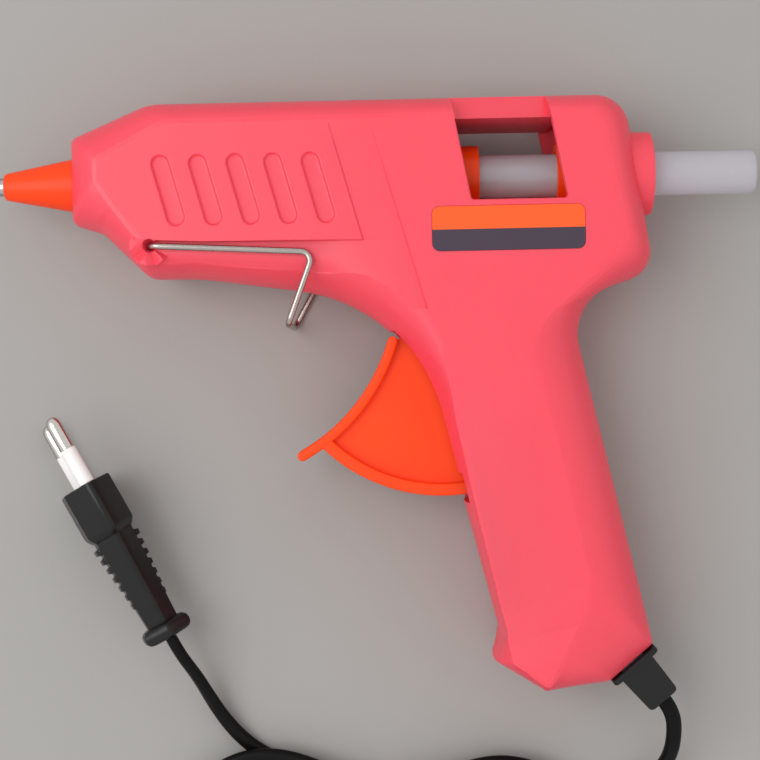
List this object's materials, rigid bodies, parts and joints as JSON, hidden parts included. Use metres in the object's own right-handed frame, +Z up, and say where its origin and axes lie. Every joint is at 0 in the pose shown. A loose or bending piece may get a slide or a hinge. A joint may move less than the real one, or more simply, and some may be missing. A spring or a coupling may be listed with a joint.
{
  "type": "hot glue gun",
  "caption": "Hand-held hot glue gun with trigger feed, loaded glue stick, wire prop stand, side window and a mains lead with a flat plug.",
  "frame": {"origin": "middle of the gun without its lead, on the surface it lies on", "axes": "-X the way the nozzle points, -Y down the grip, +Z up through the left side"},
  "size_m": [0.199, 0.2203, 0.034],
  "materials": {
    "pink_abs": "fine moulded grain",
    "orange_pp": "smooth moulded",
    "steel": "turned",
    "bright_steel": "drawn, zinc plated",
    "nickel": "nickel plated",
    "aluminium": "die cast",
    "ceramic": "fired",
    "copper": "stamped sheet",
    "mica": "polyimide film",
    "silicone": "moulded",
    "glue": "milky, translucent",
    "label": "printed film, no words",
    "black_rubber": "moulded",
    "black_pvc": "extruded",
    "white_nylon": "moulded",
    "wire_brown": "extruded"
  },
  "bodies": {
    "housing": {"left_shell": "pink_abs", "right_shell": "pink_abs", "shell_screws": "bright_steel", "nozzle": "steel", "nozzle_cover": "orange_pp", "heating_barrel": "aluminium", "heater_ptc": "ceramic", "heater_electrodes": "copper", "heater_insulation": "mica", "heater_clip": "steel", "inlet_sleeve": "silicone", "sleeve_clamp": "steel", "return_spring": "steel", "rating_label": "label", "strain_relief": "black_rubber", "cord_inner": "black_pvc", "cord_clamp": "white_nylon", "clamp_screws": "bright_steel", "lead_wires": "wire_brown", "crimp_caps": "bright_steel", "cord_lead": "black_pvc", "cord_hank": "black_pvc", "cord_tail": "black_pvc", "cord_tie": "white_nylon", "plug_body": "black_rubber", "plug_pins": "nickel", "pin_sleeves": "white_nylon"},
    "trigger": {"trigger": "orange_pp"},
    "carriage": {"feed_carriage": "orange_pp", "jaw_pin": "bright_steel"},
    "jaw": {"grip_jaw": "steel"},
    "stick": {"glue_stick": "glue"},
    "stand": {"wire_stand": "bright_steel"}
  },
  "joints": [
    {"name": "trigger_pull", "type": "hinge", "parent": "housing", "child": "trigger", "pos_m": [0.0185, 0.01807, 0.017], "axis": [0, 0, 1], "range_deg": [0, 30], "stiffness_Nm_per_rad": 0.4},
    {"name": "carriage_slide", "type": "slide", "parent": "housing", "child": "carriage", "axis": [-1, 0, 0], "range_m": [0, 0.0104], "deforming": ["return_spring"]},
    {"name": "jaw_tilt", "type": "hinge", "parent": "carriage", "child": "jaw", "pos_m": [0.0167, 0.04237, 0.017], "axis": [0, 0, 1], "range_deg": [-5.2, 0]},
    {"name": "stick_feed", "type": "slide", "parent": "housing", "child": "stick", "axis": [-1, 0, 0], "range_m": [0, 0.0104]},
    {"name": "stand_swing", "type": "hinge", "parent": "housing", "child": "stand", "pos_m": [-0.0535, 0.03847, 0.017], "axis": [0, 0, -1], "range_deg": [0, 140]}
  ],
  "couplings": [
    {"joint": "carriage_slide", "follows": "trigger_pull", "m_per_rad": 0.0195},
    {"joint": "stick_feed", "follows": "trigger_pull", "m_per_rad": 0.0195},
    {"joint": "jaw_tilt", "follows": "trigger_pull", "ratio": -0.16667}
  ]
}
